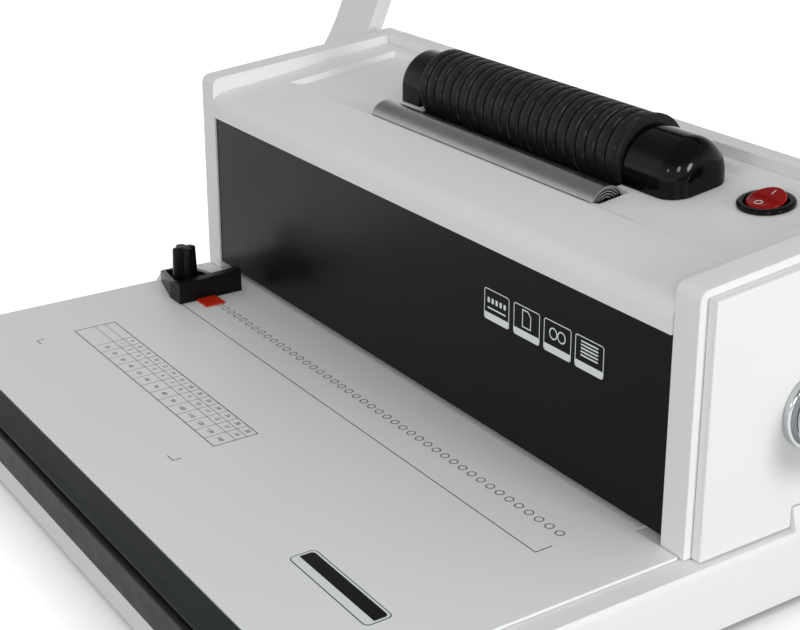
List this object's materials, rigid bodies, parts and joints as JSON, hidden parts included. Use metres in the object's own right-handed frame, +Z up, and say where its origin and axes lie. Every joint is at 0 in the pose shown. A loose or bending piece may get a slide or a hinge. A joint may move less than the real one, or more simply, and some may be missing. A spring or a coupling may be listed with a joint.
{
  "type": "coil binding machine",
  "caption": "Desktop coil binding machine: a hand lever drives a row of punch pins through the paper and a motor-driven ribbed roller on top spins the coil in.",
  "frame": {"origin": "on the floor under the middle of the machine's box at rest, with the handle back", "axes": "+X across the machine to the operator's right, +Y from the table towards the rear cover, +Z up"},
  "size_m": [0.4926, 0.3578, 0.2842],
  "materials": {
    "white_plastic": "fine-grained off-white moulding",
    "arm_plastic": "fine-grained off-white moulding",
    "table_coat": "smooth light grey coat",
    "black_panel": "satin black sheet",
    "black_plastic": "satin black moulding",
    "gloss_black": "high gloss black moulding",
    "roller_rubber": "matt black rubber",
    "foot_rubber": "matt black rubber",
    "steel": "ground steel",
    "polished_steel": "bright strip",
    "chrome": "bright plating",
    "bronze": "sintered bronze",
    "zinc_plate": "zinc-plated sheet",
    "red_plastic": "clear red moulding",
    "orange_plastic": "orange-red moulding",
    "gear_plastic": "natural acetal",
    "board": "green circuit board"
  },
  "bodies": {
    "base": {"base_shell": "white_plastic", "bottom_plate": "zinc_plate", "foot_front_left": "foot_rubber", "foot_rear_left": "foot_rubber", "foot_front_right": "foot_rubber", "foot_rear_right": "foot_rubber", "table_plate": "table_coat", "front_trim": "black_plastic", "front_panel": "black_panel", "top_cover": "white_plastic", "rear_cover": "white_plastic", "side_panel_left": "white_plastic", "side_cover_left": "white_plastic", "hub_ring_left": "chrome", "side_panel_right": "white_plastic", "side_cover_right": "white_plastic", "hub_ring_right": "chrome", "frame_plate_left": "zinc_plate", "shaft_bush_left": "bronze", "guide_rod_left": "steel", "return_spring_left": "steel", "frame_plate_right": "zinc_plate", "shaft_bush_right": "bronze", "guide_rod_right": "steel", "return_spring_right": "steel", "die_bar": "steel", "pin_guide_bar": "steel", "paper_stop": "steel", "coil_trough": "polished_steel", "bearing_housing": "gloss_black", "dome_housing": "gloss_black", "bearing_block": "steel", "gear_motor": "steel", "gear_plate": "zinc_plate", "cross_rail": "zinc_plate", "supply_board": "board", "switch_body": "black_plastic", "power_inlet": "black_plastic"},
    "tray": {"chip_tray": "black_plastic"},
    "handle": {"handle_shaft": "steel", "cam_left": "steel", "arm_left": "arm_plastic", "arm_cap_left": "chrome", "cam_right": "steel", "arm_right": "arm_plastic", "arm_cap_right": "chrome", "crossbar": "steel", "handle_grip": "roller_rubber"},
    "punch": {"punch_bar": "steel"},
    "roller": {"roller_core": "steel", "roller_sleeve": "roller_rubber", "roller_end_ring": "black_plastic", "roller_gear": "gear_plastic"},
    "idler": {"idler_gear": "gear_plastic"},
    "pinion": {"motor_pinion": "steel"},
    "rocker": {"switch_rocker": "red_plastic"},
    "guide": {"guide_block": "black_plastic", "guide_pointer": "orange_plastic", "guide_nut": "zinc_plate"},
    "knob": {"guide_knob": "black_plastic"}
  },
  "joints": [
    {"name": "handle_hinge", "type": "hinge", "parent": "base", "child": "handle", "pos_m": [0, 0.04927, 0.0825], "axis": [1, 0, 0], "range_deg": [0, 85]},
    {"name": "punch_slide", "type": "slide", "parent": "base", "child": "punch", "axis": [0, 0, -1], "range_m": [0, 0.008], "stiffness_N_per_m": 1500, "springref_m": -0.003, "deforming": ["return_spring_left", "return_spring_right"]},
    {"name": "tray_slide", "type": "slide", "parent": "base", "child": "tray", "axis": [0, -1, 0], "range_m": [0, 0.15]},
    {"name": "roller_spin", "type": "hinge", "parent": "base", "child": "roller", "pos_m": [0, 0.07457, 0.1465], "axis": [1, 0, 0], "continuous": true},
    {"name": "idler_spin", "type": "hinge", "parent": "base", "child": "idler", "pos_m": [0.0875, 0.07457, 0.1241], "axis": [1, 0, 0], "continuous": true},
    {"name": "pinion_spin", "type": "hinge", "parent": "base", "child": "pinion", "pos_m": [0.0875, 0.07457, 0.1073], "axis": [1, 0, 0], "continuous": true},
    {"name": "rocker_tilt", "type": "hinge", "parent": "base", "child": "rocker", "pos_m": [0.1345, 0.082, 0.14213], "axis": [-1, 0, 0], "range_deg": [0, 20]},
    {"name": "guide_slide", "type": "slide", "parent": "base", "child": "guide", "axis": [1, 0, 0], "range_m": [-0.008, 0.008]},
    {"name": "knob_turn", "type": "hinge", "parent": "guide", "child": "knob", "pos_m": [-0.1579, -0.03843, 0.05], "axis": [0, 0, 1], "range_deg": [0, 90]}
  ],
  "couplings": [
    {"joint": "punch_slide", "follows": "handle_hinge", "m_per_rad": 0.005392},
    {"joint": "idler_spin", "follows": "roller_spin", "ratio": -1},
    {"joint": "pinion_spin", "follows": "roller_spin", "ratio": 2}
  ]
}
